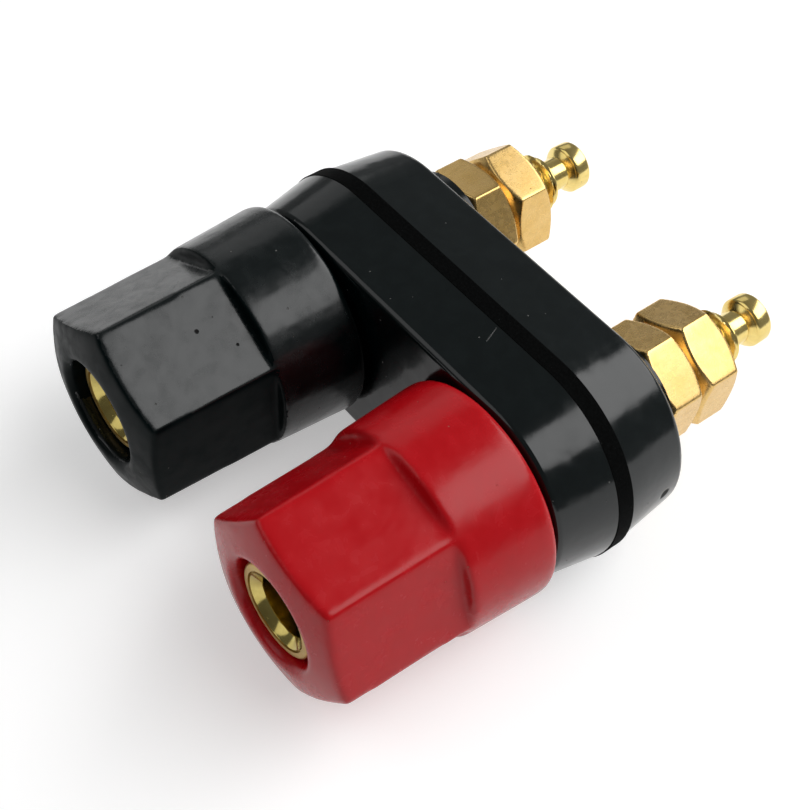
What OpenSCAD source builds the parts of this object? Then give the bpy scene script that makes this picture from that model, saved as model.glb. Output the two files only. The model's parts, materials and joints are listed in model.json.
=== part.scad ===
// Twin binding post: two insulated screw knobs on brass posts that share one front plate,
// one sealing gasket and one rear plate, with nuts and solder heads behind the panel.
// X runs from the black post to the red post, -Y points out of the panel's front, Z is up.
// The origin is midway between the posts on the front plate's panel face.

/* [Pair] */
// Distance between the two post axes.
post_pitch = 19.05; // [17.5:0.05:30]
// How much further back the black post and its nuts sit than the red ones.
black_set_back = 0.55; // [0:0.05:0.8]

/* [Front plate] */
// Half height of the plate where it meets the gasket.
front_plate_half = 7.75; // [7:0.05:8.5]
// Thickness of the plate.
front_plate_thickness = 4.3; // [3.6:0.1:7]
// Angle by which the sides lean in toward the front, in degrees.
front_plate_draft = 10.5; // [4:0.5:12]
// Radius of the rounded front edge.
front_plate_edge = 0.5; // [0.2:0.05:0.8]
// Outer radius of the round bosses that pass through the panel.
front_boss_radius = 3.9; // [3.4:0.05:4.1]
// Length of those bosses beyond the gasket.
front_boss_reach = 1.9; // [1:0.1:2.6]

/* [Gasket] */
// Thickness of the gasket.
gasket_thickness = 1.2; // [0.6:0.1:2.5]
// How far the gasket stands out past the front plate all round.
gasket_lip = 0.05; // [0:0.01:0.4]

/* [Rear plate] */
// Half height of the plate where it meets the gasket.
rear_plate_half = 7.65; // [7:0.05:8.5]
// Thickness of the plate.
rear_plate_thickness = 5.05; // [4:0.05:8]
// Angle by which the sides lean in toward the rear, in degrees.
rear_plate_draft = 6; // [3:0.5:9]
// Radius of the rounded rear edge.
rear_plate_edge = 0.5; // [0.2:0.05:0.8]
// Radius of the round pads under the nuts.
nut_pad_radius = 4.45; // [4.1:0.05:5.2]
// Height of the red post's pad above the rear face.
nut_pad_height = 1.8; // [0.6:0.05:3]

/* [Knobs] */
// Gap between the front plate and the collar with the knob screwed home.
knob_gap = 0.35; // [0.2:0.05:0.6]
// Overall length of the knob along its axis.
knob_length = 16.15; // [14.5:0.05:18]
// Length of the round collar.
collar_length = 6.42; // [4.5:0.02:7]
// Radius of the collar at its shoulder.
collar_radius = 7.28; // [7:0.02:7.6]
// Angle by which the collar widens toward the panel, in degrees.
collar_draft = 3.3; // [1:0.1:4]
// Radius of the collar's rounded rear edge.
collar_edge = 0.45; // [0.2:0.05:0.8]
// Corner radius of the hexagonal grip at the shoulder.
grip_radius = 7.25; // [6.6:0.01:7.3]
// How much smaller the grip's corner radius is at its front end.
grip_taper = 0.25; // [0.05:0.01:0.5]
// Radius of the domed front face.
face_dome_radius = 21.25; // [17:0.25:40]
// Radius of the hole that the post stands in.
knob_hole_radius = 3.63; // [3.5:0.01:4]
// Width of the chamfer round that hole.
knob_hole_chamfer = 0.36; // [0.1:0.02:0.5]
// Angle of the black grip's first corner from +X, in degrees.
black_grip_angle = 29.6; // [0:0.1:60]
// Angle of the red grip's first corner from +X, in degrees.
red_grip_angle = 46.4; // [0:0.1:60]

/* [Knob inserts] */
// Outer radius of the threaded brass insert inside the knob.
insert_radius = 5; // [4.6:0.05:5.4]
// Length of the insert.
insert_length = 8; // [5:0.1:10]

/* [Posts] */
// Outer radius of the post's tube.
tube_radius = 3.3; // [3.1:0.01:3.4]
// Length of the tube in front of the plate.
tube_length = 15.95; // [14.5:0.05:17.5]
// Radius of the plug socket.
socket_radius = 2.05; // [2:0.01:2.2]
// Depth of the plug socket.
socket_depth = 15.2; // [13:0.1:16]
// Radius of the socket's flared mouth.
mouth_radius = 2.75; // [2.3:0.01:2.85]
// Depth of the flared mouth.
mouth_depth = 0.55; // [0.3:0.05:1]
// Radius of the rounded outer lip of the tube.
lip_radius = 0.3; // [0.1:0.05:0.3]
// Radius of the flange that sits in the front plate.
flange_radius = 4.6; // [4.2:0.05:4.8]
// Thickness of the flange.
flange_thickness = 1.6; // [1:0.1:2.2]
// How far the flange stands out of the plate.
flange_proud = 0.3; // [0.1:0.05:0.3]
// Radius of the cross hole for a bare wire.
wire_hole_radius = 1; // [0.6:0.05:1.2]
// Distance from the plate's front face to the cross hole's axis.
wire_hole_distance = 2; // [1.8:0.1:3]

/* [Rear studs] */
// Radius of the threaded stud.
stud_radius = 2.25; // [2:0.01:2.3]
// Width of the chamfer at the end of the thread.
stud_chamfer = 0.4; // [0.2:0.05:0.5]
// Length of thread that shows past the outer nut.
stud_tail = 2.2; // [1:0.1:4]
// Radius of the neck between the thread and the solder head.
neck_radius = 1.4; // [1.1:0.05:1.6]
// Length of the neck.
neck_length = 1.3; // [0.6:0.05:2]
// Length over which the neck flares out to the solder head.
flare_length = 1.2; // [0.4:0.05:1.5]
// Radius of the solder head.
head_radius = 1.82; // [1.7:0.01:2]
// Length of the solder head.
head_length = 0.8; // [0.6:0.05:2]
// Radius of the solder head's rounded end edge.
head_edge = 0.3; // [0.1:0.05:0.4]

/* [Nuts] */
// Size of a nut across its flats.
nut_across_flats = 7.5; // [7.2:0.05:8]
// Thickness of a nut.
nut_thickness = 3.3; // [2.4:0.05:4]
// Radius of the flat ring on each face of a nut.
nut_face_radius = 3.4; // [3:0.02:3.5]
// Width of the countersink at each end of a nut's thread.
nut_countersink = 0.3; // [0.1:0.05:0.5]
// Angle of the first corner of the black post's inner nut from +X, in degrees.
black_inner_nut_angle = 6; // [0:0.1:60]
// Angle of the first corner of the black post's outer nut from +X, in degrees.
black_outer_nut_angle = 43.9; // [0:0.1:60]
// Angle of the first corner of the red post's inner nut from +X, in degrees.
red_inner_nut_angle = 23.8; // [0:0.1:60]
// Angle of the first corner of the red post's outer nut from +X, in degrees.
red_outer_nut_angle = 25.4; // [0:0.1:60]

/* [Fits] */
// Radial clearance between two threads or a shaft and its hole.
thread_clearance = 0.05; // [0.02:0.01:0.08]
// Radial clearance of fixed parts in the plates and the gasket.
seat_clearance = 0.1; // [0.05:0.01:0.2]
// Axial gap between faces that bear on each other.
face_gap = 0.02; // [0.01:0.01:0.05]
// Gap past the end of each boss, inside the rear plate.
boss_end_gap = 0.08; // [0.02:0.02:0.3]

/* [Hidden] */
$fn = 96;
half_pitch = post_pitch / 2;
overshoot = 1;
nut_chamfer_angle = 30;

// Heights along the post axis, counted toward the front from the panel face.
plate_front = front_plate_thickness;
flange_front = plate_front + flange_proud;
flange_rear = flange_front - flange_thickness;
knob_rear = plate_front + knob_gap;
shoulder = knob_rear + collar_length;
knob_front = knob_rear + knob_length;
insert_rear = flange_front + face_gap;
insert_front = insert_rear + insert_length;
tube_front = plate_front + tube_length;
wire_hole_height = plate_front + wire_hole_distance;
gasket_rear = -gasket_thickness;
rear_plate_front = gasket_rear;
rear_plate_rear = rear_plate_front - rear_plate_thickness;
boss_rear = gasket_rear - front_boss_reach;
pad_rear = rear_plate_rear - nut_pad_height;
inner_nut_rear = pad_rear - face_gap - nut_thickness;
outer_nut_rear = inner_nut_rear - face_gap - nut_thickness;
stud_rear = outer_nut_rear - stud_tail;
neck_rear = stud_rear - neck_length;
head_front = neck_rear - flare_length;
head_rear = head_front - head_length;

stud_hole_radius = stud_radius + seat_clearance;
nut_corner_radius = nut_across_flats / 2 / cos(30);
nut_mouth_radius = stud_radius + nut_countersink;

// Stands a shape drawn along +Z on the panel, so that its +Z points out of the front.
module facing_front() {
    rotate([90, 0, 0]) children();
}

module on_black_axis() {
    facing_front() translate([-half_pitch, 0, 0]) children();
}

// Shifts a piece of the black post to where it sits.
module set_back() {
    translate([0, 0, -black_set_back]) children();
}

module on_red_axis() {
    facing_front() translate([half_pitch, 0, 0]) children();
}

module on_both_axes() {
    for (side = [-1, 1]) {
        translate([side * half_pitch, 0, 0]) children();
    }
}

// Half section of a disc: radius base at height 0, sides leaning in by lean, far edge rounded.
module leaning_section(base, height, lean, edge) {
    centre_radius = base - (height - edge) * tan(lean) - edge / cos(lean);
    centre_height = height - edge;
    polygon([
        [0, 0],
        [base, 0],
        [centre_radius + edge * cos(lean), centre_height + edge * sin(lean)],
        [centre_radius, height],
        [0, height]
    ]);
    intersection() {
        translate([centre_radius, centre_height]) circle(r = edge);
        square([base + overshoot, height]);
    }
}

// Long plate with round ends, made by sweeping that half section round both ends.
module long_plate(base, height, lean, edge) {
    on_both_axes() rotate_extrude() leaning_section(base, height, lean, edge);
    rotate([90, 0, 90]) translate([0, 0, -half_pitch]) linear_extrude(height = post_pitch) {
        leaning_section(base, height, lean, edge);
        mirror([1, 0]) leaning_section(base, height, lean, edge);
    }
}

// Straight hole or peg between two heights.
module round_between(low, high, radius) {
    translate([0, 0, low]) cylinder(h = high - low, r = radius);
}

module front_plate() {
    color([0.03, 0.03, 0.035]) facing_front() difference() {
        union() {
            long_plate(front_plate_half, front_plate_thickness, front_plate_draft, front_plate_edge);
            on_both_axes() round_between(boss_rear, overshoot, front_boss_radius);
        }
        on_both_axes() round_between(boss_rear - overshoot, plate_front + overshoot, stud_hole_radius);
        for (side = [-1, 1]) {
            translate([side * half_pitch, 0, side < 0 ? -black_set_back : 0]) round_between(
                flange_rear - face_gap,
                plate_front + overshoot + black_set_back,
                flange_radius + seat_clearance
            );
        }
    }
}

module panel_gasket() {
    color([0.05, 0.05, 0.05]) facing_front() translate([0, 0, gasket_rear]) difference() {
        union() {
            on_both_axes() cylinder(h = gasket_thickness, r = front_plate_half + gasket_lip);
            translate([-half_pitch, -front_plate_half - gasket_lip, 0])
                cube([post_pitch, 2 * (front_plate_half + gasket_lip), gasket_thickness]);
        }
        on_both_axes() round_between(
            -overshoot, gasket_thickness + overshoot, front_boss_radius + seat_clearance
        );
    }
}

module rear_plate() {
    color([0.04, 0.04, 0.045]) facing_front() difference() {
        union() {
            translate([0, 0, rear_plate_front]) mirror([0, 0, 1])
                long_plate(rear_plate_half, rear_plate_thickness, rear_plate_draft, rear_plate_edge);
            for (side = [-1, 1]) {
                translate([side * half_pitch, 0, 0]) round_between(
                    side < 0 ? pad_rear - black_set_back : pad_rear,
                    rear_plate_rear + overshoot,
                    nut_pad_radius
                );
            }
        }
        on_both_axes() round_between(
            pad_rear - black_set_back - overshoot, rear_plate_front, stud_hole_radius
        );
        on_both_axes() round_between(
            boss_rear - boss_end_gap, rear_plate_front + overshoot, front_boss_radius + seat_clearance
        );
    }
}

// Round collar, tapered six-sided grip and domed face, bored through from end to end.
module knob_body(grip_angle) {
    grip_height = knob_front - shoulder;
    dome_rim = knob_hole_radius + knob_hole_chamfer;
    dome_centre = knob_front - sqrt(pow(face_dome_radius, 2) - pow(dome_rim, 2));
    difference() {
        union() {
            translate([0, 0, shoulder]) mirror([0, 0, 1])
                rotate_extrude() leaning_section(collar_radius, collar_length, -collar_draft, collar_edge);
            intersection() {
                rotate([0, 0, grip_angle]) translate([0, 0, shoulder - overshoot])
                    cylinder(
                        h = grip_height + 2 * overshoot,
                        r1 = grip_radius + grip_taper * overshoot / grip_height,
                        r2 = grip_radius - grip_taper * (1 + overshoot / grip_height),
                        $fn = 6
                    );
                round_between(shoulder - overshoot / 2, knob_front + overshoot, collar_radius);
                translate([0, 0, dome_centre]) sphere(r = face_dome_radius);
            }
        }
        round_between(knob_rear - overshoot, knob_front + overshoot, knob_hole_radius);
        translate([0, 0, knob_front - knob_hole_chamfer])
            cylinder(
                h = 2 * knob_hole_chamfer,
                r1 = knob_hole_radius,
                r2 = knob_hole_radius + 2 * knob_hole_chamfer
            );
        round_between(
            knob_rear - overshoot, insert_front + face_gap, insert_radius + thread_clearance
        );
    }
}

module black_knob() {
    color([0.02, 0.02, 0.025]) on_black_axis() knob_body(black_grip_angle);
}

module red_knob() {
    color([0.7, 0.04, 0.06]) on_red_axis() knob_body(red_grip_angle);
}

// Threaded brass sleeve held inside the knob.
module insert_body() {
    difference() {
        round_between(insert_rear, insert_front, insert_radius);
        round_between(insert_rear - overshoot, insert_front + overshoot, tube_radius + thread_clearance);
    }
}

module black_knob_insert() {
    color([0.8, 0.62, 0.3]) on_black_axis() insert_body();
}

module red_knob_insert() {
    color([0.8, 0.62, 0.3]) on_red_axis() insert_body();
}

// Section of the solder head and the flare behind it, from the far end toward the front.
module head_section() {
    square([head_radius - head_edge, head_length]);
    translate([0, head_edge]) square([head_radius, head_length - head_edge]);
    intersection() {
        translate([head_radius - head_edge, head_edge]) circle(r = head_edge);
        square([head_radius, head_length]);
    }
    polygon([
        [0, head_length],
        [head_radius, head_length],
        [neck_radius, head_length + flare_length],
        [0, head_length + flare_length]
    ]);
}

// Section of the tube's front end with its rounded outer lip.
module tube_section() {
    square([tube_radius, tube_length + flange_proud - lip_radius]);
    square([tube_radius - lip_radius, tube_length + flange_proud]);
    translate([tube_radius - lip_radius, tube_length + flange_proud - lip_radius]) circle(r = lip_radius);
}

// One turned piece: plug socket, flange, threaded stud, neck and solder head.
module post_body() {
    difference() {
        union() {
            translate([0, 0, plate_front - flange_proud]) rotate_extrude() tube_section();
            round_between(flange_rear, flange_front, flange_radius);
            round_between(stud_rear + stud_chamfer, flange_rear + overshoot, stud_radius);
            translate([0, 0, stud_rear])
                cylinder(h = stud_chamfer, r1 = stud_radius - stud_chamfer, r2 = stud_radius);
            round_between(neck_rear, stud_rear, neck_radius);
            translate([0, 0, head_rear]) rotate_extrude() head_section();
        }
        round_between(tube_front - socket_depth, tube_front + overshoot, socket_radius);
        translate([0, 0, tube_front - mouth_depth])
            cylinder(
                h = 2 * mouth_depth,
                r1 = socket_radius,
                r2 = 2 * mouth_radius - socket_radius
            );
        translate([0, 0, wire_hole_height]) rotate([90, 0, 0])
            cylinder(h = 2 * (tube_radius + overshoot), r = wire_hole_radius, center = true);
    }
}

module black_post() {
    color([0.8, 0.62, 0.3]) on_black_axis() set_back() post_body();
}

module red_post() {
    color([0.8, 0.62, 0.3]) on_red_axis() post_body();
}

// Hexagonal nut with both faces chamfered and a countersunk thread.
module nut_body(rear, corner_angle) {
    chamfer_width = nut_corner_radius + overshoot - nut_face_radius;
    chamfer_height = chamfer_width * tan(nut_chamfer_angle);
    translate([0, 0, rear]) difference() {
        intersection() {
            rotate([0, 0, corner_angle]) cylinder(h = nut_thickness, r = nut_corner_radius, $fn = 6);
            rotate_extrude() polygon([
                [0, 0],
                [nut_face_radius, 0],
                [nut_corner_radius + overshoot, chamfer_height],
                [nut_corner_radius + overshoot, nut_thickness - chamfer_height],
                [nut_face_radius, nut_thickness],
                [0, nut_thickness]
            ]);
        }
        round_between(-overshoot, nut_thickness + overshoot, stud_radius + thread_clearance);
        for (end = [0, nut_thickness]) {
            translate([0, 0, end - nut_countersink])
                cylinder(
                    h = 2 * nut_countersink,
                    r1 = end > 0 ? stud_radius : nut_mouth_radius + nut_countersink,
                    r2 = end > 0 ? nut_mouth_radius + nut_countersink : stud_radius
                );
        }
    }
}

module black_inner_nut() {
    color([0.85, 0.68, 0.35]) on_black_axis() set_back()
        nut_body(inner_nut_rear, black_inner_nut_angle);
}

module black_outer_nut() {
    color([0.85, 0.68, 0.35]) on_black_axis() set_back()
        nut_body(outer_nut_rear, black_outer_nut_angle);
}

module red_inner_nut() {
    color([0.85, 0.68, 0.35]) on_red_axis() nut_body(inner_nut_rear, red_inner_nut_angle);
}

module red_outer_nut() {
    color([0.85, 0.68, 0.35]) on_red_axis() nut_body(outer_nut_rear, red_outer_nut_angle);
}

front_plate();
panel_gasket();
rear_plate();
black_knob();
red_knob();
black_knob_insert();
red_knob_insert();
black_post();
red_post();
black_inner_nut();
black_outer_nut();
red_inner_nut();
red_outer_nut();
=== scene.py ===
import json
import math
from collections import namedtuple

import bmesh
import bpy
from mathutils import Matrix, Vector

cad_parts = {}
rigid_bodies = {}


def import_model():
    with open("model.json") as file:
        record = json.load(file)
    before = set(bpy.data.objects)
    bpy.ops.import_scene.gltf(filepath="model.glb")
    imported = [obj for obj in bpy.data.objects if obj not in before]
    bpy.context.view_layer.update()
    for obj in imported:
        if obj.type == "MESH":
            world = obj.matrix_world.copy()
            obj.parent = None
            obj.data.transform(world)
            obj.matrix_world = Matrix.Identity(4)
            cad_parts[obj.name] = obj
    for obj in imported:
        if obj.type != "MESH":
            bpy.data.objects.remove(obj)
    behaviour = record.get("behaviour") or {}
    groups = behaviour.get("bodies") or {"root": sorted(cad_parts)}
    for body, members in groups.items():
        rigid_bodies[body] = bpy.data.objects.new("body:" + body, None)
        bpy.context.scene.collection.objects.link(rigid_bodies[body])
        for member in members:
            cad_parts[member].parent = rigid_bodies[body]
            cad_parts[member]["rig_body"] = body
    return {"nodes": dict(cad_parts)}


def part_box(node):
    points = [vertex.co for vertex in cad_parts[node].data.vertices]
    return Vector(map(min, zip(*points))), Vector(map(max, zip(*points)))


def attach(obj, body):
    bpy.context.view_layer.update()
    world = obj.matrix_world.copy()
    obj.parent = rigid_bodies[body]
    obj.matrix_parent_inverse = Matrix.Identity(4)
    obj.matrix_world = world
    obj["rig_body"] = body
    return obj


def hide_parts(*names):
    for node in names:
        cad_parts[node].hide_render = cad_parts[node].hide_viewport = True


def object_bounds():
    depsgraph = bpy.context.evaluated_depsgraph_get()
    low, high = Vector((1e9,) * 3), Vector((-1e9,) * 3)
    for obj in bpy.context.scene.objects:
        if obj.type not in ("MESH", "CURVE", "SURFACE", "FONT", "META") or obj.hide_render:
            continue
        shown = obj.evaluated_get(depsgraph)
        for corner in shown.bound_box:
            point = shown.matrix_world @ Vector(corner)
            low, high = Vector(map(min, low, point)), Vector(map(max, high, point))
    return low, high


# Lengths are written in millimetres and angles in degrees, apart from the lights and the floor.
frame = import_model()
cad_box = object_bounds()
MM = 0.001
nodes = frame["nodes"]
scene = bpy.context.scene


def direction(azimuth, elevation):
    """Unit vector; azimuth 0 is the front of the part, 90 is its +X side."""
    a, e = math.radians(azimuth), math.radians(elevation)
    return Vector((math.sin(a) * math.cos(e), -math.cos(a) * math.cos(e), math.sin(e)))


# ---------------------------------------------------------------- camera
CAMERA_AZIMUTH = 48.887
CAMERA_ELEVATION = 49.949
CAMERA_ROLL = math.radians(3.788)
CAMERA_DISTANCE = 106.365 * MM
CAMERA_LENS = 69.24
CAMERA_SENSOR = 36.0
CAMERA_NEAR = 5 * MM
AIM_RIGHT, AIM_UP, AIM_BACK = -6.297 * MM, -5.201 * MM, 5.0 * MM

toward = direction(CAMERA_AZIMUTH, CAMERA_ELEVATION)
level_right = Vector((0, 0, 1)).cross(toward).normalized()
level_up = toward.cross(level_right)
right = math.cos(CAMERA_ROLL) * level_right + math.sin(CAMERA_ROLL) * level_up
up = math.cos(CAMERA_ROLL) * level_up - math.sin(CAMERA_ROLL) * level_right
eye = AIM_RIGHT * right + AIM_UP * up + Vector((0, AIM_BACK, 0)) + CAMERA_DISTANCE * toward
camera_data = bpy.data.cameras.new("camera")
camera_data.sensor_width = CAMERA_SENSOR
camera_data.lens = CAMERA_LENS
camera_data.clip_start = CAMERA_NEAR
camera = bpy.data.objects.new("camera", camera_data)
camera.matrix_world = Matrix((
    (right.x, up.x, toward.x, eye.x),
    (right.y, up.y, toward.y, eye.y),
    (right.z, up.z, toward.z, eye.z),
    (0, 0, 0, 1),
))
scene.collection.objects.link(camera)
scene.camera = camera
scene.view_settings.view_transform = "Standard"


# ---------------------------------------------------------------- node helpers
# The middle of each mark that is at full strength, as a share of its size.
SPECK_CORE = 0.6
SPOT_CORE = 0.5
SCRATCH_CORE = 0.4
# The share of a scratch's length over which each end fades out.
SCRATCH_FADE = 0.15


class Graph:
    """Short names for the nodes of one material.

    Places and sizes are millimetres, and the scale of a texture is its cells per millimetre.
    """

    def __init__(self, name):
        self.material = bpy.data.materials.new(name)
        self.material.use_nodes = True
        self.tree = self.material.node_tree
        self.shader = self.tree.nodes["Principled BSDF"]
        self.coords = self.tree.nodes.new("ShaderNodeTexCoord").outputs["Object"]

    def add(self, kind, **values):
        node = self.tree.nodes.new(kind)
        for key, value in values.items():
            setattr(node, key, value)
        return node

    def link(self, output, target):
        self.tree.links.new(output, target)

    def millimetres(self, per_axis=(1, 1, 1)):
        """Object coordinates in millimetres, times a factor for each axis."""
        node = self.add("ShaderNodeMapping")
        node.inputs["Scale"].default_value = tuple(factor / MM for factor in per_axis)
        self.link(self.coords, node.inputs["Vector"])
        return node.outputs["Vector"]

    def noise(self, scale, detail, rough, distortion=0.0, per_axis=(1, 1, 1)):
        vector = self.millimetres(per_axis)
        node = self.add("ShaderNodeTexNoise")
        node.inputs["Scale"].default_value = scale
        node.inputs["Detail"].default_value = detail
        node.inputs["Roughness"].default_value = rough
        node.inputs["Distortion"].default_value = distortion
        self.link(vector, node.inputs["Vector"])
        return node.outputs["Fac"]

    def ramp(self, value, low, high, out_low=0.0, out_high=1.0):
        """A smooth step from out_low to out_high while the value goes from low to high."""
        node = self.add("ShaderNodeMapRange", clamp=True, interpolation_type="SMOOTHSTEP")
        node.inputs["From Min"].default_value = low
        node.inputs["From Max"].default_value = high
        node.inputs["To Min"].default_value = out_low
        node.inputs["To Max"].default_value = out_high
        self.link(value, node.inputs["Value"])
        return node.outputs["Result"]

    def math(self, operation, a, b):
        """The operation on a and b, each a number or an output."""
        node = self.add("ShaderNodeMath", operation=operation)
        for socket, value in zip(node.inputs, (a, b)):
            if isinstance(value, (int, float)):
                socket.default_value = value
            else:
                self.link(value, socket)
        return node.outputs[0]

    def blend(self, factor, a, b):
        """A mix of the colours a and b, each a tuple or an output."""
        node = self.add("ShaderNodeMix", data_type="RGBA")
        self.link(factor, node.inputs["Factor"])
        for key, value in (("A", a), ("B", b)):
            socket = next(s for s in node.inputs if s.name == key and s.type == "RGBA")
            if isinstance(value, tuple):
                socket.default_value = (*value, 1)
            else:
                self.link(value, socket)
        return next(s for s in node.outputs if s.type == "RGBA")

    def specks(self, scale, size, share):
        """Sparse round dots: the share of cells that hold one, of the given size in cells."""
        cells = self.add("ShaderNodeTexVoronoi")
        cells.inputs["Scale"].default_value = scale
        self.link(self.millimetres(), cells.inputs["Vector"])
        dot = self.ramp(cells.outputs["Distance"], size, size * SPECK_CORE)
        split = self.add("ShaderNodeSeparateColor")
        self.link(cells.outputs["Color"], split.inputs["Color"])
        chosen = self.math("LESS_THAN", split.outputs[0], share)
        return self.math("MULTIPLY", dot, chosen)

    def spot(self, centre, radius):
        """A soft round mark at a place on the part."""
        node = self.add("ShaderNodeVectorMath", operation="DISTANCE")
        self.link(self.coords, node.inputs[0])
        node.inputs[1].default_value = tuple(c * MM for c in centre)
        return self.ramp(node.outputs["Value"], radius * MM, radius * MM * SPOT_CORE)

    def scratch(self, start, end, width):
        """A thin straight mark between two places on the part."""
        start, end = Vector(start) * MM, Vector(end) * MM
        length = (end - start).length
        along = (end - start).normalized()
        offset = self.add("ShaderNodeVectorMath", operation="SUBTRACT")
        self.link(self.coords, offset.inputs[0])
        offset.inputs[1].default_value = tuple(start)
        cross = self.add("ShaderNodeVectorMath", operation="CROSS_PRODUCT")
        self.link(offset.outputs[0], cross.inputs[0])
        cross.inputs[1].default_value = tuple(along)
        away = self.add("ShaderNodeVectorMath", operation="LENGTH")
        self.link(cross.outputs[0], away.inputs[0])
        near = self.ramp(away.outputs["Value"], width * MM, width * MM * SCRATCH_CORE)
        dot = self.add("ShaderNodeVectorMath", operation="DOT_PRODUCT")
        self.link(offset.outputs[0], dot.inputs[0])
        dot.inputs[1].default_value = tuple(along)
        begun = self.ramp(dot.outputs["Value"], 0, length * SCRATCH_FADE)
        unfinished = self.ramp(dot.outputs["Value"], length, length * (1 - SCRATCH_FADE))
        return self.math("MULTIPLY", near, self.math("MULTIPLY", begun, unfinished))

    def bump(self, height, distance, normal=None):
        """The normal of a surface raised by the distance where the height is 1."""
        node = self.add("ShaderNodeBump")
        node.inputs["Distance"].default_value = distance * MM
        node.inputs["Strength"].default_value = 1.0
        self.link(height, node.inputs["Height"])
        if normal is not None:
            self.link(normal, node.inputs["Normal"])
        return node.outputs["Normal"]

    def finish(self, normal=None, **sockets):
        """Sets or links sockets of the shader, whose names have underscores for spaces."""
        for key, value in sockets.items():
            socket = self.shader.inputs[key.replace("_", " ")]
            if isinstance(value, tuple):
                socket.default_value = (*value, 1)
            elif isinstance(value, (int, float)):
                socket.default_value = value
            else:
                self.link(value, socket)
        if normal is not None:
            self.link(normal, self.shader.inputs["Normal"])
        return self.material


# ---------------------------------------------------------------- materials
# Heights of the plastic's waves and grain, as multiples of its waves value.
WAVE_HEIGHT = 4
GRAIN_HEIGHT = 0.12
# How smooth its glossiest places are, as a multiple of its roughness.
GLOSSIEST_PLASTIC = 0.8
# Dust and marks are sunk into it and duller than the rest.
MARK_DEPTH = 0.06
MARK_DULLNESS = 0.7


def plastic(
    name, deep, pale, rough, speck,
    *, ior, spots=(), scratches=(), speck_share=0.02, waves=0.012, scuff=1.3,
):
    """Moulded plastic: slow waves, a fine grain, mottled colour and gloss, dust and its own marks.

    A spot is (centre, radius, colour), and a scratch is (start, end, width, colour). The
    roughness goes up to rough times scuff.
    """
    g = Graph(name)
    fine = g.noise(scale=9.0, detail=4.0, rough=0.6)
    broad = g.noise(scale=0.45, detail=2.0, rough=0.4)
    mottle = g.noise(scale=0.8, detail=4.0, rough=0.55, distortion=0.4)
    dust = g.specks(scale=2.3, size=0.16, share=speck_share)
    colour = g.blend(g.ramp(mottle, 0.35, 0.7), deep, pale)
    colour = g.blend(dust, colour, speck)
    marks = dust
    own_marks = [(g.spot(*place), tint) for *place, tint in spots]
    own_marks += [(g.scratch(*place), tint) for *place, tint in scratches]
    for mark, tint in own_marks:
        marks = g.math("MAXIMUM", marks, mark)
        colour = g.blend(mark, colour, tint)
    gloss = g.ramp(mottle, 0.3, 0.75, rough * GLOSSIEST_PLASTIC, rough * scuff)
    gloss = g.math("ADD", gloss, g.math("MULTIPLY", marks, MARK_DULLNESS))
    normal = g.bump(broad, waves * WAVE_HEIGHT)
    normal = g.bump(fine, waves * GRAIN_HEIGHT, normal)
    normal = g.bump(marks, -MARK_DEPTH, normal)
    return g.finish(normal, Base_Color=colour, Roughness=gloss, IOR=ior)


# The colour of the gold's streaks and pits, as shares of its own, and how strongly they show.
STREAK_TINT, STREAK_STRENGTH = 0.72, 0.18
PIT_TINT, PIT_STRENGTH = 0.35, 0.5
PIT_DEPTH = 0.02
# The limits of its roughness, as multiples of the value it is given.
GLOSSIEST_GOLD, DULLEST_GOLD = 0.9, 1.15


def gold(name, colour, dark, rough, *, streak, crackle):
    """Gold coloured plating: drawn streaks along the axis, a grain, fine pits and a slow tint.

    streak and crackle are the heights of the streaks and of the grain.
    """
    g = Graph(name)
    tint = g.noise(scale=0.7, detail=3.0, rough=0.6)
    lines = g.noise(scale=1.0, detail=2.0, rough=0.5, distortion=0.4, per_axis=(4, 0.5, 4))
    grain = g.noise(scale=2.5, detail=1.0, rough=0.4, distortion=0.6)
    pits = g.specks(scale=2.6, size=0.15, share=0.04)
    streak_colour = tuple(c * STREAK_TINT for c in colour)
    pit_colour = tuple(c * PIT_TINT for c in colour)
    base = g.blend(g.ramp(tint, 0.3, 0.75), colour, dark)
    base = g.blend(g.ramp(lines, 0.35, 0.7, 0.0, STREAK_STRENGTH), base, streak_colour)
    base = g.blend(g.math("MULTIPLY", pits, PIT_STRENGTH), base, pit_colour)
    gloss = g.ramp(grain, 0.3, 0.75, rough * GLOSSIEST_GOLD, rough * DULLEST_GOLD)
    normal = g.bump(lines, streak)
    normal = g.bump(grain, crackle, normal)
    normal = g.bump(pits, -PIT_DEPTH, normal)
    return g.finish(normal, Base_Color=base, Roughness=gloss, Metallic=1.0)


RUBBER = (0.0006, 0.0008, 0.0008)
RUBBER_PALE = (0.003, 0.0034, 0.0034)
RUBBER_FLECK = (0.012, 0.013, 0.013)
RUBBER_GRAIN = 0.04


def rubber(name):
    """Matte sheet rubber with a coarse grain and pale flecks."""
    g = Graph(name)
    grain = g.noise(scale=5.0, detail=5.0, rough=0.7)
    flecks = g.specks(scale=3.5, size=0.2, share=0.12)
    base = g.blend(g.ramp(grain, 0.4, 0.75), RUBBER, RUBBER_PALE)
    base = g.blend(flecks, base, RUBBER_FLECK)
    normal = g.bump(g.math("ADD", grain, flecks), RUBBER_GRAIN)
    return g.finish(normal, Base_Color=base, Roughness=0.8, IOR=1.12)


BLACK = (0.0003, 0.0028, 0.0031)
BLACK_PALE = (0.001, 0.004, 0.0043)
BLACK_DUST = (0.12, 0.12, 0.115)
RED = (0.47, 0.003, 0.007)
RED_PALE = (0.5, 0.004, 0.009)
RED_DUST = (0.6, 0.12, 0.1)
GATE_MARK = (0.0005, 0.0005, 0.0005)
SCRATCH = (0.1, 0.1, 0.1)
PIT = (0.001, 0.001, 0.001)

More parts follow.
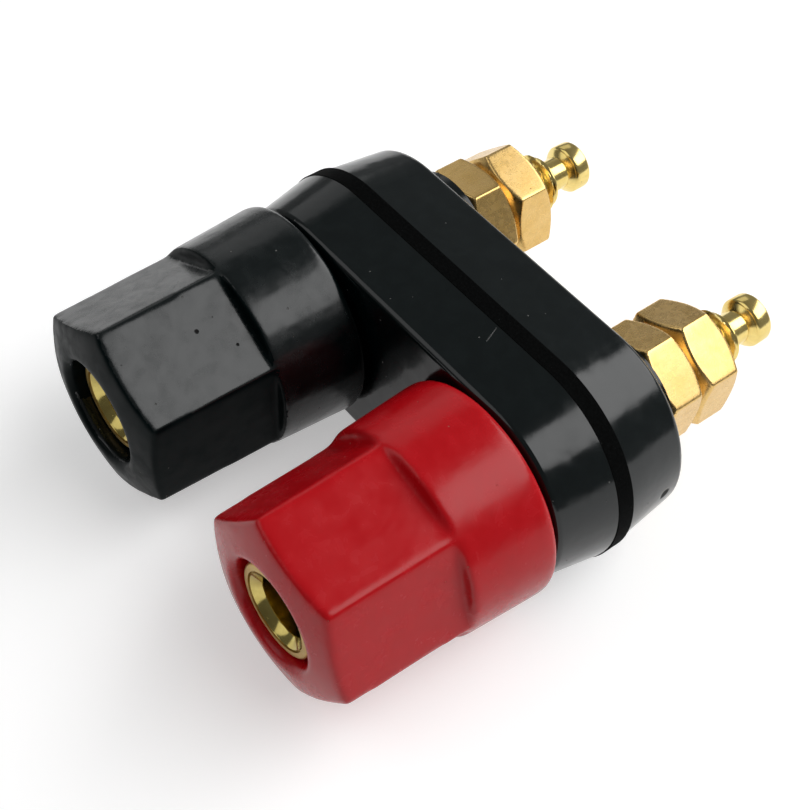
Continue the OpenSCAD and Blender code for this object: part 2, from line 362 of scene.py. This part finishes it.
plates = plastic(
    "plate_plastic", BLACK, BLACK_PALE, 0.15, BLACK_DUST,
    ior=1.47, speck_share=0.03,
    spots=[((16.8, 4.63, -0.34), 0.5, GATE_MARK)],
    scratches=[((5.35, -1.3, 7.53), (4.95, -0.1, 7.71), 0.05, SCRATCH)],
)
black_grip = plastic(
    "black_knob_plastic", BLACK, BLACK_PALE, 0.24, BLACK_DUST,
    ior=1.47, speck_share=0.04, scuff=1.28,
    spots=[
        ((-7.1, -14.3, 5.8), 0.16, PIT),
        ((-6.6, -17.3, 5.7), 0.16, PIT),
        ((-5.4, -12.4, 4.9), 0.13, PIT),
    ],
)
# Painted shade: the same black plastic, rougher and far less reflective, for faces of the black knob
# that are to stay dark.
black_painted_shade = plastic("black_plastic_painted_shade", BLACK, BLACK_PALE, 0.4, BLACK_DUST, ior=1.15)
red_grip = plastic(
    "red_knob_plastic", RED, RED_PALE, 0.27, RED_DUST,
    ior=1.35, speck_share=0.015, waves=0.016, scuff=1.1,
)
gasket_rubber = rubber("gasket_rubber")
nut_gold = gold(
    "nut_gold", (0.78, 0.53, 0.21), (0.72, 0.47, 0.16), 0.27, streak=0.0012, crackle=0.0006,
)
post_gold = gold(
    "post_gold", (0.88, 0.7, 0.27), (0.8, 0.6, 0.19), 0.18, streak=0.001, crackle=0.0008,
)
# A darker, rougher gold: the dull gold of the knob inserts, and painted shade on the post's lip.
dull_gold_and_painted_shade = gold(
    "dull_gold_and_painted_shade", (0.48, 0.33, 0.1), (0.38, 0.25, 0.07), 0.38, streak=0.002, crackle=0.001,
)
# A darker gold for the inside of the socket: painted shade in its recess.
socket_painted_shade_gold = gold(
    "socket_painted_shade_gold", (0.56, 0.46, 0.15), (0.44, 0.34, 0.1), 0.13, streak=0.002, crackle=0.001,
)


# ---------------------------------------------------------------- shared by the pieces
def settle(piece, node):
    """Puts a finished piece in the place of a CAD node, on the same body."""
    body = nodes[node]["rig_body"]
    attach(piece, body)
    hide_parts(node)


def new_piece(name, mesh):
    piece = bpy.data.objects.new(name, mesh)
    scene.collection.objects.link(piece)
    return piece


def bake_modifiers(piece):
    """Gives the piece the mesh that its modifiers make, and returns that mesh."""
    bpy.context.view_layer.update()
    result = piece.evaluated_get(bpy.context.evaluated_depsgraph_get())
    mesh = bpy.data.meshes.new_from_object(result)
    piece.modifiers.clear()
    piece.data = mesh
    return mesh


def shade(mesh, material, crease):
    """One material and smooth shading, except at edges sharper than the crease angle."""
    mesh.materials.clear()
    mesh.materials.append(material)
    for polygon in mesh.polygons:
        polygon.use_smooth = True
        polygon.material_index = 0
    mesh.set_sharp_from_angle(angle=math.radians(crease))


RING_POINTS = 240


def full_turn(turn):
    return 2 * math.pi * turn


def lathe(name, centre_x, front_y, rows, closed=False, angle_at=full_turn):
    """A mesh of rings round an axis along Y, from rows of (distance back from front_y, radius).

    A radius is a number, or a function of the turn from 0 to 1, and 0 is a point on the axis.
    angle_at gives the angle at a turn. A closed mesh joins its last ring to its first.
    """
    bm = bmesh.new()
    rings = []
    for at, radius in rows:
        y = front_y + at * MM
        if radius == 0:
            rings.append([bm.verts.new((centre_x, y, 0.0))])
            continue
        ring = []
        for k in range(RING_POINTS):
            turn = k / RING_POINTS
            angle = angle_at(turn)
            r = (radius(turn) if callable(radius) else radius) * MM
            ring.append(bm.verts.new((centre_x + r * math.cos(angle), y, r * math.sin(angle))))
        rings.append(ring)
    following = rings[1:] + rings[:1] if closed else rings[1:]
    for a, b in zip(rings, following):
        for k in range(RING_POINTS):
            n = (k + 1) % RING_POINTS
            if len(a) == 1:
                bm.faces.new((a[0], b[k], b[n]))
            elif len(b) == 1:
                bm.faces.new((a[k], b[0], a[n]))
            else:
                bm.faces.new((a[k], b[k], b[n], a[n]))
    bmesh.ops.recalc_face_normals(bm, faces=bm.faces)
    mesh = bpy.data.meshes.new(name)
    bm.to_mesh(mesh)
    bm.free()
    return new_piece(name, mesh)


# ---------------------------------------------------------------- knobs
KNOB_VOXEL = 0.14
KNOB_WELD = 0.0005
# Smoothing passes.
BLACK_WEAR = 19
RED_WEAR = 42
# On the black knob, the front is duller, and so is the +X side in front of FLAT_BACK_Y: a rougher,
# less reflective copy of the plastic, which is painted shade that keeps these faces dark.
PAINTED_SHADE_MATERIAL = 1
FACE_NORMAL_Y = -0.45
FLAT_NORMAL_X = 0.85
FLAT_BACK_Y = -10.9


def worn_knob(node, name, wear, *materials):
    """A copy of a knob's CAD solid on an even mesh, its edges worn round by smoothing."""
    mesh = nodes[node].data.copy()
    mesh.materials.clear()
    bm = bmesh.new()
    bm.from_mesh(mesh)
    bmesh.ops.remove_doubles(bm, verts=bm.verts, dist=KNOB_WELD * MM)
    bm.to_mesh(mesh)
    bm.free()
    knob = new_piece(name, mesh)
    remesh = knob.modifiers.new("even", "REMESH")
    remesh.mode = "VOXEL"
    remesh.voxel_size = KNOB_VOXEL * MM
    remesh.use_smooth_shade = True
    smooth = knob.modifiers.new("worn", "SMOOTH")
    smooth.iterations = wear
    smooth.factor = 0.5
    mesh = bake_modifiers(knob)
    for material in materials:
        mesh.materials.append(material)
    return knob


black_knob = worn_knob("black_knob", "black_knob_moulding", BLACK_WEAR, black_grip, black_painted_shade)
# Painted shade: the front faces and the +X flat take the less reflective copy of the plastic.
for polygon in black_knob.data.polygons:
    on_flat = polygon.normal.x > FLAT_NORMAL_X and polygon.center.y < FLAT_BACK_Y * MM
    if on_flat or polygon.normal.y < FACE_NORMAL_Y:
        polygon.material_index = PAINTED_SHADE_MATERIAL
settle(black_knob, "black_knob")

red_knob = worn_knob("red_knob", "red_knob_moulding", RED_WEAR, red_grip)
settle(red_knob, "red_knob")


# ---------------------------------------------------------------- nuts
NUT_SIDES = 6
NUT_FLAT = 3.75  # from the axis to a flat
NUT_HOLE = 2.3
NUT_MOUTH = 2.58
NUT_MOUTH_DEPTH = 0.28
NUT_LAND = 3.26  # a ring on the flat end, which keeps its shading flat
NUT_CONE = 3.42  # where the flat end meets the chamfer
NUT_CHAMFER = math.radians(30)  # between the chamfer and the end
NUT_SLICES = 44
NUT_CREASE = 35
# How closely the worn surface follows its flats and cones: higher is crisper.
NUT_CRISPNESS = 80.0
# How far the mesh's steps crowd together at the corners, from 0 to 1.
CROWDING = 0.85


def worn_nut(node, name):
    """A hex nut whose flats and chamfers run into each other over rounded edges."""
    low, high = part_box(node)
    centre_x, thick = (low.x + high.x) / 2, (high.y - low.y) / MM
    corner = max(nodes[node].data.vertices, key=lambda v: math.hypot(v.co.x - centre_x, v.co.z)).co
    corner_angle = math.atan2(corner.z, corner.x - centre_x)

    def angle_at(turn):
        """The angle at a turn, in steps that crowd together at the corners."""
        crowded = CROWDING * math.sin(NUT_SIDES * full_turn(turn)) / NUT_SIDES
        return corner_angle + full_turn(turn) - crowded

    def outside(at):
        """The radius at a distance from one end, as a soft minimum of the flats and the cones."""
        cones = [NUT_CONE + end / math.tan(NUT_CHAMFER) for end in (at, thick - at)]

        def radius(turn):
            total = sum((1 / cone) ** NUT_CRISPNESS for cone in cones)
            for side in range(NUT_SIDES):
                to_side = full_turn((side + 0.5) / NUT_SIDES)
                facing = math.cos(angle_at(turn) - corner_angle - to_side)
                if facing > 0:
                    total += (facing / NUT_FLAT) ** NUT_CRISPNESS
            return total ** (-1 / NUT_CRISPNESS)
        return radius

    rows = [(NUT_MOUTH_DEPTH, NUT_HOLE), (0.0, NUT_MOUTH), (0.0, NUT_LAND)]
    for k in range(NUT_SLICES + 1):
        at = thick * (0.5 - 0.5 * math.cos(math.pi * k / NUT_SLICES))
        rows.append((at, outside(at)))
    rows += [(thick, NUT_LAND), (thick, NUT_MOUTH), (thick - NUT_MOUTH_DEPTH, NUT_HOLE)]
    nut = lathe(name, centre_x, low.y, rows, closed=True, angle_at=angle_at)
    shade(nut.data, nut_gold, NUT_CREASE)
    return nut


for node in ("black_inner_nut", "black_outer_nut", "red_inner_nut", "red_outer_nut"):
    settle(worn_nut(node, node + "_worn"), node)


# ---------------------------------------------------------------- posts
# Each post is one turned piece. A place along it is its distance back from the front end.
Thread = namedtuple("Thread", "start end pitch depth")

# The plug socket, the groove inside its lip, and the tube.
SOCKET_R = 2.05
SOCKET_DEPTH = 15.2
MOUTH_R = 2.75
MOUTH_DEPTH = 0.55
SOCKET_RINGS = (12.0, 8.0, 4.0, MOUTH_DEPTH + 0.1)
LIP_GROOVE = ((0.1, 0.17), (0.06, 0.14), (0.18, 0.09), (0.18, 0.03))  # (depth, in from the mouth)
LIP_ROUND = 0.3
LIP_STEPS = 6
TUBE_R = 3.3
TUBE_THREAD = Thread(start=2.6, end=12.4, pitch=0.8, depth=0.22)
WIRE_HOLE_AT = 13.95
WIRE_HOLE_R = 1.0
WIRE_HOLE_SIDES = 48
# The flange behind the tube, and the stud behind that.
FLANGE_START = 15.65
FLANGE_END = 17.25
FLANGE_R = 4.6
FLANGE_BEVEL = 0.1
STUD_R = 2.25
STUD_END = 37.14
STUD_CHAMFER = 0.4
STUD_THREAD = Thread(start=23.0, end=37.1, pitch=0.75, depth=0.42)
# The neck, the flare it ends in, and the solder head.
NECK_R = 1.22
NECK_FILLET = 0.12
FLARE_START = 38.75
FLARE_END = 39.1
FLARE_R = 1.66
FLARE_POWER = 0.9
FLARE_STEPS = 12
HEAD_R = 1.82
HEAD_EDGE = 0.2
HEAD_EDGE_STEPS = 8
HEAD_SHOULDER = ((0.05, FLARE_R - 0.03), (0.12, HEAD_R - 0.08), (0.24, HEAD_R))  # (past flare, radius)
POST_END = 40.44
# The shares of a thread's pitch that its crest and its two flanks take up; the rest is its root.
CREST_WIDTH = 0.06
FLANKS_WIDTH = 0.84
# A thread deepens over its first pitch, and fades out over this share of its last.
END_FADE = 0.4
RINGS_PER_PITCH = 10
CORNER_BREAK = 0.02
POST_CREASE = 40
# The lip and the inside of the socket have materials of their own: darker golds that are painted
# shade, on the front-facing lip and inside the socket's recess.
LIP_SHADE_MATERIAL = 1
LIP_BAND = 0.12
SOCKET_SHADE_MATERIAL = 2


def thread_depth(thread, at, turn):
    """How far the surface lies below the thread's crest."""
    if not thread.start < at < thread.end:
        return 0.0
    phase = (at / thread.pitch - turn) % 1.0
    wave = min(1.0, max(0.0, (abs(2 * phase - 1) - CREST_WIDTH) / FLANKS_WIDTH))
    begun = (at - thread.start) / thread.pitch
    unfinished = (thread.end - at) / (END_FADE * thread.pitch)
    return thread.depth * wave * min(1.0, begun, unfinished)


def thread_rows(thread, crest_at):
    """Rings along a helical thread, with the crest's radius from its place."""
    steps = round((thread.end - thread.start) / thread.pitch * RINGS_PER_PITCH)
    rows = []
    for k in range(steps + 1):
        at = thread.start + (thread.end - thread.start) * k / steps
        crest = crest_at(at)
        rows.append((at, lambda turn, at=at, crest=crest: crest - thread_depth(thread, at, turn)))
    return rows


def tube_crest(at):
    return TUBE_R


def stud_crest(at):
    """The stud's radius, which its end chamfer cuts down."""
    return min(STUD_R, STUD_R - STUD_CHAMFER + (STUD_END - at))


def quarter(steps):
    """The angles of a quarter circle in even steps."""
    return [math.radians(90 * k / steps) for k in range(steps + 1)]


def socket_rows():
    """From the floor of the socket out and round the lip."""
    rows = [
        (SOCKET_DEPTH, 0),
        (SOCKET_DEPTH, SOCKET_R - CORNER_BREAK),
        (SOCKET_DEPTH - CORNER_BREAK, SOCKET_R),
    ]
    rows += [(at, SOCKET_R) for at in SOCKET_RINGS]
    rows.append((MOUTH_DEPTH, SOCKET_R + CORNER_BREAK))
    rows += [(depth, MOUTH_R - inward) for depth, inward in LIP_GROOVE]
    rows.append((0.0, MOUTH_R))
    for a in quarter(LIP_STEPS):
        radius = TUBE_R - LIP_ROUND + LIP_ROUND * math.sin(a)
        rows.append((LIP_ROUND - LIP_ROUND * math.cos(a), radius))
    return rows


def flange_rows():
    return [
        (FLANGE_START, TUBE_R),
        (FLANGE_START, FLANGE_R - FLANGE_BEVEL),
        (FLANGE_START + FLANGE_BEVEL, FLANGE_R),
        (FLANGE_END, FLANGE_R),
        (FLANGE_END, STUD_R),
    ]


def head_rows():
    """From the end of the stud along the neck and round the head."""
    rows = [
        (STUD_END, STUD_R - STUD_CHAMFER),
        (STUD_END, NECK_R + NECK_FILLET),
        (STUD_END + NECK_FILLET, NECK_R),
    ]
    for k in range(FLARE_STEPS + 1):
        t = k / FLARE_STEPS
        radius = NECK_R + (FLARE_R - NECK_R) * t ** FLARE_POWER
        rows.append((FLARE_START + (FLARE_END - FLARE_START) * t, radius))
    rows += [(FLARE_END + past, radius) for past, radius in HEAD_SHOULDER]
    for a in quarter(HEAD_EDGE_STEPS):
        radius = HEAD_R - HEAD_EDGE + HEAD_EDGE * math.cos(a)
        rows.append((POST_END - HEAD_EDGE + HEAD_EDGE * math.sin(a), radius))
    rows.append((POST_END, 0))
    return rows


def drill(piece, centre):
    """Cuts the cross hole for a bare wire along Z, and returns the new mesh."""
    bm = bmesh.new()
    bmesh.ops.create_cone(
        bm, cap_ends=True, segments=WIRE_HOLE_SIDES,
        radius1=WIRE_HOLE_R * MM, radius2=WIRE_HOLE_R * MM, depth=4 * TUBE_R * MM,
        matrix=Matrix.Translation(centre),
    )
    mesh = bpy.data.meshes.new("drill")
    bm.to_mesh(mesh)
    bm.free()
    tool = new_piece("drill", mesh)
    cut = piece.modifiers.new("cut", "BOOLEAN")
    cut.operation = "DIFFERENCE"
    cut.solver = "EXACT"
    cut.object = tool
    mesh = bake_modifiers(piece)
    bpy.data.objects.remove(tool)
    return mesh


def turned_post(node, name):
    low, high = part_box(node)
    centre_x, front_y = (low.x + high.x) / 2, low.y
    rows = socket_rows()
    rows += thread_rows(TUBE_THREAD, tube_crest)
    rows += flange_rows()
    rows += thread_rows(STUD_THREAD, stud_crest)
    rows += head_rows()
    post = lathe(name, centre_x, front_y, rows)
    mesh = drill(post, (centre_x, front_y + WIRE_HOLE_AT * MM, 0.0))
    shade(mesh, post_gold, POST_CREASE)
    mesh.materials.append(dull_gold_and_painted_shade)
    mesh.materials.append(socket_painted_shade_gold)
    # Painted shade: the lip and the inside of the socket take the darker golds.
    for polygon in mesh.polygons:
        away = math.hypot(polygon.center.x - centre_x, polygon.center.z)
        if polygon.center.y < front_y + LIP_ROUND * MM and away > (MOUTH_R - LIP_BAND) * MM:
            polygon.material_index = LIP_SHADE_MATERIAL
        elif polygon.center.y < front_y + SOCKET_DEPTH * MM and away < MOUTH_R * MM:
            polygon.material_index = SOCKET_SHADE_MATERIAL
    return post


for node in ("black_post", "red_post"):
    settle(turned_post(node, node + "_turned"), node)


# ---------------------------------------------------------------- CAD nodes that stay
for node, material in (
    ("front_plate", plates), ("rear_plate", plates), ("panel_gasket", gasket_rubber),
    ("black_knob_insert", dull_gold_and_painted_shade), ("red_knob_insert", dull_gold_and_painted_shade),
):
    for slot in nodes[node].material_slots:
        slot.link = "OBJECT"
        slot.material = material


# ---------------------------------------------------------------- light and floor
def soft_light(name, *, azimuth, elevation, distance, wide, tall, radiance, tilt=0.0):
    """A softbox that faces the part; its distance and size are metres."""
    data = bpy.data.lights.new(name, "AREA")
    data.shape = "RECTANGLE"
    data.size, data.size_y = wide, tall
    data.energy = radiance * math.pi * wide * tall
    lamp = bpy.data.objects.new(name, data)
    away = direction(azimuth, elevation)
    level = Vector((0, 0, 1)).cross(away).normalized()
    facing = Matrix((level, away.cross(level), away)).transposed()
    tilted = facing @ Matrix.Rotation(math.radians(tilt), 3, "Z")
    lamp.matrix_world = Matrix.Translation(away * distance) @ tilted.to_4x4()
    lamp.visible_camera = False
    scene.collection.objects.link(lamp)


soft_light(
    "softbox", azimuth=153.5, elevation=49.2, distance=0.6,
    wide=0.89, tall=0.4, radiance=3.3, tilt=-29.5,
)
soft_light(
    "side_card", azimuth=-112, elevation=30, distance=0.7, wide=0.34, tall=0.34, radiance=0.5,
)
soft_light(
    "fill", azimuth=-40, elevation=42, distance=0.7, wide=0.5, tall=0.5, radiance=0.9,
)

# The matte floor glows only for camera, glossy and transmission rays. Its size is metres.
FLOOR_SIZE = 4.0
FLOOR_COLOUR = (0.8, 0.8, 0.8)
FLOOR_GLOW = 0.42
bpy.ops.mesh.primitive_plane_add(size=FLOOR_SIZE, location=(0, 0, cad_box[0][2]))
floor = bpy.context.object
floor.name = "floor"
paper = Graph("floor_paper")
path = paper.add("ShaderNodeLightPath")
reflected = paper.math("MAXIMUM", path.outputs["Is Glossy Ray"], path.outputs["Is Transmission Ray"])
seen = paper.math("MAXIMUM", path.outputs["Is Camera Ray"], reflected)
paper.link(paper.math("MULTIPLY", seen, FLOOR_GLOW), paper.shader.inputs["Emission Strength"])
floor.data.materials.append(paper.finish(
    Base_Color=FLOOR_COLOUR, Roughness=1.0, Specular_IOR_Level=0.0, Emission_Color=(1.0, 1.0, 1.0),
))

# The world is white light that grows evenly from the front of the part to its back.
WORLD_FRONT = 0.13
WORLD_BACK = 0.26
world = bpy.data.worlds.new("world")
scene.world = world
world.use_nodes = True
sky = world.node_tree
place = sky.nodes.new("ShaderNodeTexCoord")
split = sky.nodes.new("ShaderNodeSeparateXYZ")
sky.links.new(place.outputs["Generated"], split.inputs["Vector"])
spread = sky.nodes.new("ShaderNodeMapRange")
spread.inputs["From Min"].default_value = -1.0
spread.inputs["From Max"].default_value = 1.0
spread.inputs["To Min"].default_value = WORLD_FRONT
spread.inputs["To Max"].default_value = WORLD_BACK
sky.links.new(split.outputs["Y"], spread.inputs["Value"])
sky.links.new(spread.outputs["Result"], sky.nodes["Background"].inputs["Strength"])
sky.nodes["Background"].inputs["Color"].default_value = (1, 1, 1, 1)
